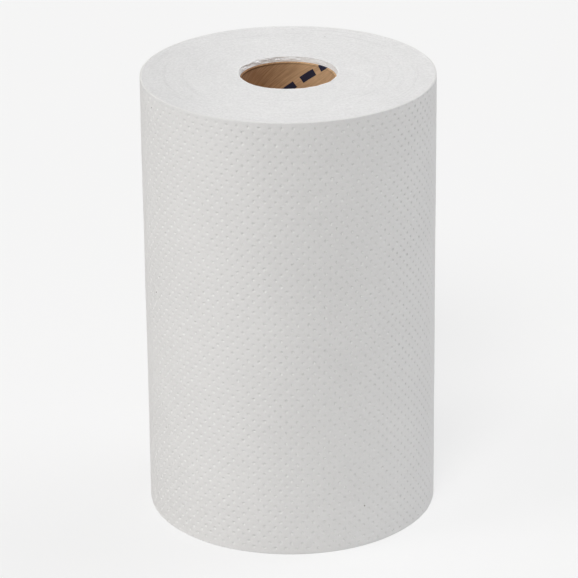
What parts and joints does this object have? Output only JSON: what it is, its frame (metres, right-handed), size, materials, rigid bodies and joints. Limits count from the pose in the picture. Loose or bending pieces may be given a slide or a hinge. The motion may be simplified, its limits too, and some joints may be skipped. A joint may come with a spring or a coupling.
{
  "type": "paper towel roll",
  "caption": "Upright roll of dot-embossed white paper hand towel, wound on a slightly shorter open cardboard core that takes a holder's spindle.",
  "frame": {"origin": "centre of the end face that the roll stands on, on the core's axis", "axes": "+Z along the core's axis, up from the end it stands on; +X and +Y level, with the glued tail of the web ending round at the back, 118 degrees from +X towards +Y"},
  "size_m": [0.13, 0.1298, 0.203],
  "materials": {
    "towel_paper": "matte",
    "core_board": "matte"
  },
  "bodies": {
    "root": {"towel_winding": "towel_paper", "core": "core_board"}
  },
  "joints": []
}
